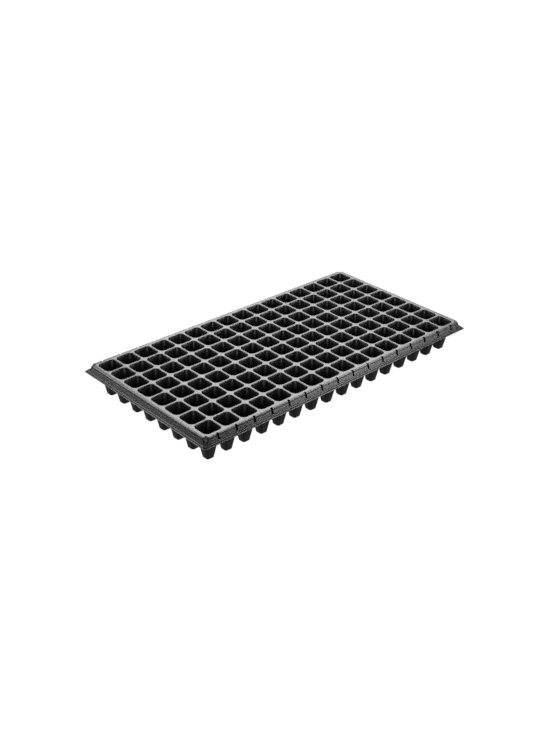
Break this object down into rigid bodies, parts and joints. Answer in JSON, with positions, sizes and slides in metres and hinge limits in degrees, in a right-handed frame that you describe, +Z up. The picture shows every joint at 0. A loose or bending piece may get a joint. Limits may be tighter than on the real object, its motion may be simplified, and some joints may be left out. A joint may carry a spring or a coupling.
{
  "type": "plug tray",
  "caption": "Black plastic plug tray with 128 open square cells, 16 by 8, tapered plugs with drain holes, a grooved skirt and a stepped rim.",
  "frame": {"origin": "on the ground under the middle of the tray", "axes": "+X along the length, +Y across the width, +Z up"},
  "size_m": [0.5428, 0.2836, 0.048],
  "materials": {
    "sheet": "matte"
  },
  "bodies": {
    "root": {"cell_walls_1": "sheet", "cell_corners_1": "sheet", "cell_floors_1": "sheet", "cell_walls_2": "sheet", "cell_corners_2": "sheet", "cell_floors_2": "sheet", "cell_walls_3": "sheet", "cell_corners_3": "sheet", "cell_floors_3": "sheet", "cell_walls_4": "sheet", "cell_corners_4": "sheet", "cell_floors_4": "sheet", "cell_walls_5": "sheet", "cell_corners_5": "sheet", "cell_floors_5": "sheet", "cell_walls_6": "sheet", "cell_corners_6": "sheet", "cell_floors_6": "sheet", "cell_walls_7": "sheet", "cell_corners_7": "sheet", "cell_floors_7": "sheet", "cell_walls_8": "sheet", "cell_corners_8": "sheet", "cell_floors_8": "sheet", "deck": "sheet", "deck_rails": "sheet", "deck_webs": "sheet", "deck_crossings": "sheet", "deck_tees": "sheet", "deck_margins": "sheet", "deck_teeth": "sheet", "deck_corners": "sheet", "skirt_front": "sheet", "skirt_back": "sheet", "skirt_left": "sheet", "skirt_right": "sheet", "skirt_corners": "sheet", "skirt_foot_sides": "sheet", "skirt_foot_corners": "sheet", "groove_backs": "sheet", "groove_cheeks": "sheet", "groove_feet": "sheet", "ledge_sides": "sheet", "ledge_corners": "sheet", "step_sides": "sheet", "step_corners": "sheet", "lip_sides": "sheet", "lip_corners": "sheet"}
  },
  "joints": []
}
